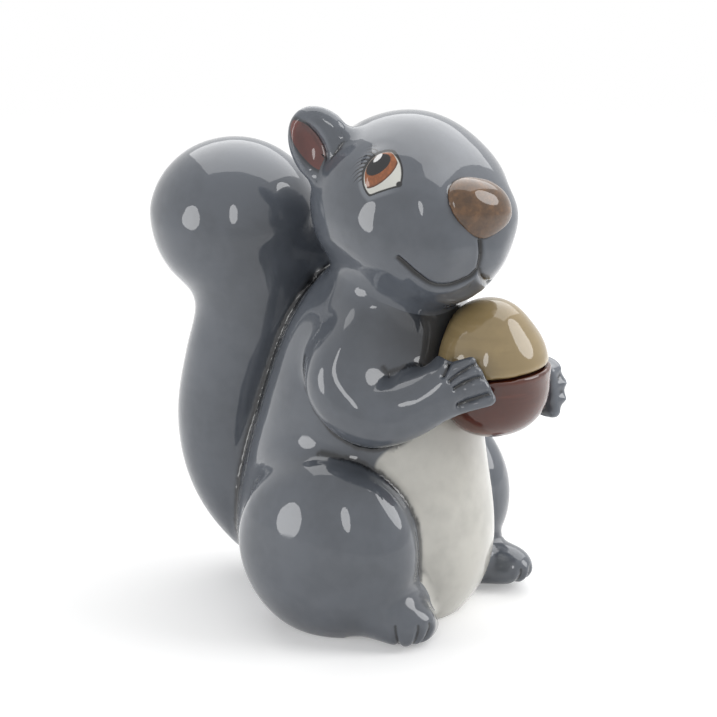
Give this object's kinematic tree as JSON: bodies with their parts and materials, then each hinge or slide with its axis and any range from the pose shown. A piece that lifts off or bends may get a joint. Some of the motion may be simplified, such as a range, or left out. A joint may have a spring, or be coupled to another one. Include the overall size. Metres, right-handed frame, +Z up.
{
  "type": "squirrel figurine",
  "caption": "Seated squirrel figurine in glazed ceramic, upright with its tail curled up behind it, its head turned aside and an acorn held in its paws; it stands on a flat base.",
  "frame": {"origin": "on the table, under the hips, at the middle of the animal's width", "axes": "+X to the animal's left, -Y forward, +Z up"},
  "size_m": [0.108, 0.1462, 0.1708],
  "materials": {
    "grey_glaze": "clear gloss glaze",
    "white_glaze": "clear gloss glaze",
    "nut_glaze": "clear gloss glaze",
    "cup_glaze": "clear gloss glaze",
    "nose_glaze": "clear gloss glaze",
    "eye_glaze": "clear gloss glaze"
  },
  "bodies": {
    "root": {"torso": "grey_glaze", "belly": "white_glaze", "head": "grey_glaze", "tail": "grey_glaze", "right_ear": "grey_glaze", "left_ear": "grey_glaze", "right_haunch": "grey_glaze", "left_haunch": "grey_glaze", "right_foot": "grey_glaze", "left_foot": "grey_glaze", "right_arm": "grey_glaze", "left_arm": "grey_glaze", "nose": "nose_glaze", "right_eye": "eye_glaze", "left_eye": "eye_glaze", "acorn_nut": "nut_glaze", "acorn_cup": "cup_glaze"}
  },
  "joints": []
}
